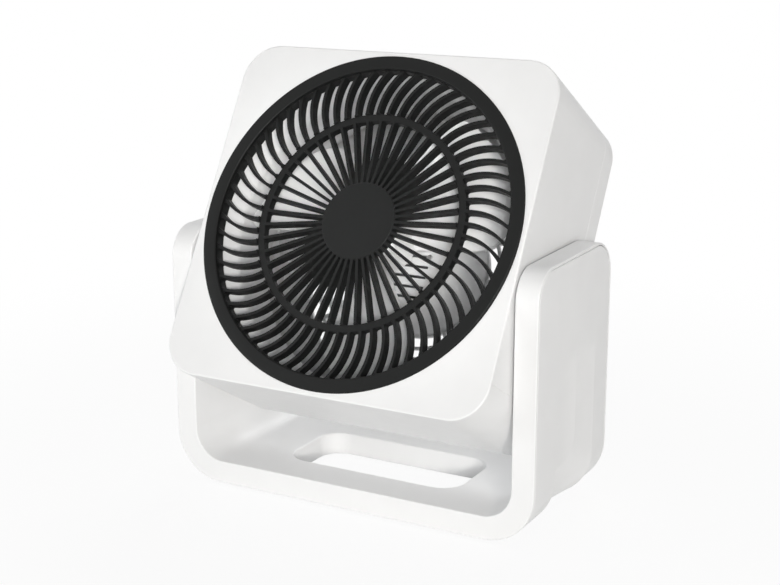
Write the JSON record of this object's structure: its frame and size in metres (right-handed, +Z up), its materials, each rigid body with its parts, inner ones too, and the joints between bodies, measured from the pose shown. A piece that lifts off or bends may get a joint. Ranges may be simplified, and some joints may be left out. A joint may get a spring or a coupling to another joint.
{
  "type": "box fan",
  "caption": "Table box fan: a square head with a round spiral grille tilts between the arms of a U-shaped stand with a hand slot in its base.",
  "frame": {"origin": "on the floor, under the middle of the whole outline, 9.1 mm behind the axis that the head tilts on", "axes": "+Z up, +X to the right of someone facing the fan, -Y out of its front; the head leans back 30 degrees at rest"},
  "size_m": [0.3482, 0.2744, 0.3773],
  "materials": {
    "white_plastic": "satin white moulded plastic",
    "black_plastic": "matte black moulded plastic",
    "blade_plastic": "satin white moulded plastic",
    "foot_rubber": "dull black rubber",
    "screw_steel": "zinc-plated steel",
    "nylon": "natural nylon",
    "cast_alloy": "as-cast aluminium alloy",
    "core_steel": "laminated electrical steel",
    "winding_copper": "varnished copper wire",
    "bearing_bronze": "sintered bronze"
  },
  "bodies": {
    "stand": {"stand_frame": "white_plastic", "left_arm_cover": "white_plastic", "right_arm_cover": "white_plastic", "base_plate": "white_plastic", "rubber_feet": "foot_rubber", "base_screws": "screw_steel", "arm_cover_screws": "screw_steel", "left_pivot_bush": "nylon", "right_pivot_bush": "nylon"},
    "head": {"front_frame": "white_plastic", "upper_shell": "white_plastic", "lower_shell": "white_plastic", "rear_shell": "white_plastic", "rear_shell_screws": "screw_steel", "front_grille": "black_plastic", "air_duct": "white_plastic", "rear_cover": "white_plastic", "rear_cover_screws": "screw_steel", "cord_gland": "black_plastic", "motor_cover": "white_plastic", "motor_cover_screws": "screw_steel", "front_end_bell": "cast_alloy", "rear_end_bell": "cast_alloy", "stator_core": "core_steel", "stator_windings": "winding_copper", "motor_bolts": "screw_steel", "front_bearing": "bearing_bronze", "rear_bearing": "bearing_bronze", "speed_switch": "black_plastic", "left_pivot_pin": "nylon", "right_pivot_pin": "nylon", "pivot_washers": "screw_steel", "spring_washers": "screw_steel", "pivot_screws": "screw_steel"},
    "impeller": {"fan_blade": "blade_plastic", "blade_nut": "blade_plastic", "motor_shaft": "screw_steel", "rotor_core": "core_steel"},
    "speed_control": {"speed_knob": "white_plastic", "switch_spindle": "screw_steel"}
  },
  "joints": [
    {"name": "head_tilt", "type": "hinge", "parent": "stand", "child": "head", "pos_m": [0, -0.0091, 0.188], "axis": [-1, 0, 0], "range_deg": [-40, 60]},
    {"name": "fan_spin", "type": "hinge", "parent": "head", "child": "impeller", "pos_m": [0, -0.0628, 0.24799], "axis": [0, 0.866, -0.5], "continuous": true},
    {"name": "speed_turn", "type": "hinge", "parent": "head", "child": "speed_control", "pos_m": [0, -0.0628, 0.24799], "axis": [0, -0.866, 0.5], "range_deg": [0, 135]}
  ]
}
